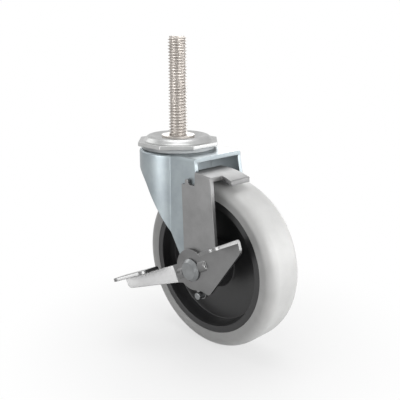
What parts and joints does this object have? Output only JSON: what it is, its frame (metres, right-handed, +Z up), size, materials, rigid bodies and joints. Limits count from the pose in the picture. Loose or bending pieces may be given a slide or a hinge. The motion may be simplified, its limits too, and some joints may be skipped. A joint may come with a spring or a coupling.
{
  "type": "threaded stem swivel caster",
  "caption": "Swivel caster with a threaded stem, pressed steel fork, soft-tread wheel and a side foot lever that presses a curved brake shoe onto the tread.",
  "frame": {"origin": "on the swivel axis, in the plane of the bearing's top where the stem enters the furniture", "axes": "+Z up along the threaded stem, +X towards the wheel axle that trails behind the swivel axis, -Y towards the foot lever"},
  "size_m": [0.1085, 0.0808, 0.1776],
  "materials": {
    "stem_steel": "zinc plated",
    "cap_steel": "zinc plated",
    "fork_steel": "blue-bright zinc plated",
    "brake_steel": "zinc plated",
    "bolt_steel": "zinc plated",
    "ball_steel": "polished",
    "seal_plastic": "matte",
    "hub_plastic": "satin moulded",
    "tread_rubber": "matte, non-marking",
    "nylon": "natural"
  },
  "bodies": {
    "head": {"threaded_stem": "stem_steel", "top_cap": "cap_steel", "lower_cup": "fork_steel"},
    "fork_frame": {"fork": "fork_steel", "race_ring": "fork_steel", "dust_ring": "seal_plastic", "upper_balls": "ball_steel", "lower_balls": "ball_steel", "axle_bolt": "bolt_steel", "axle_sleeve": "bolt_steel", "nut_washer": "bolt_steel", "axle_nut": "bolt_steel", "nut_insert": "nylon"},
    "wheel": {"wheel_hub": "hub_plastic", "tread": "tread_rubber", "bush_near": "nylon", "bush_far": "nylon"},
    "lever": {"brake_lever": "brake_steel"},
    "brake_shoe": {"brake_plate": "brake_steel", "cam_pin": "bolt_steel"}
  },
  "joints": [
    {"name": "swivel", "type": "hinge", "parent": "head", "child": "fork_frame", "pos_m": [0, 0, 0], "axis": [0, 0, 1], "continuous": true},
    {"name": "wheel_spin", "type": "hinge", "parent": "fork_frame", "child": "wheel", "pos_m": [0.03516, 0, -0.07047], "axis": [0, 1, 0], "continuous": true},
    {"name": "lever_pivot", "type": "hinge", "parent": "fork_frame", "child": "lever", "pos_m": [0.03516, 0, -0.07047], "axis": [0, 1, 0], "range_deg": [0, 20]},
    {"name": "shoe_slide", "type": "slide", "parent": "fork_frame", "child": "brake_shoe", "axis": [0, 0, -1], "range_m": [0, 0.0036]}
  ],
  "couplings": [
    {"joint": "shoe_slide", "follows": "lever_pivot", "m_per_rad": 0.010313}
  ]
}
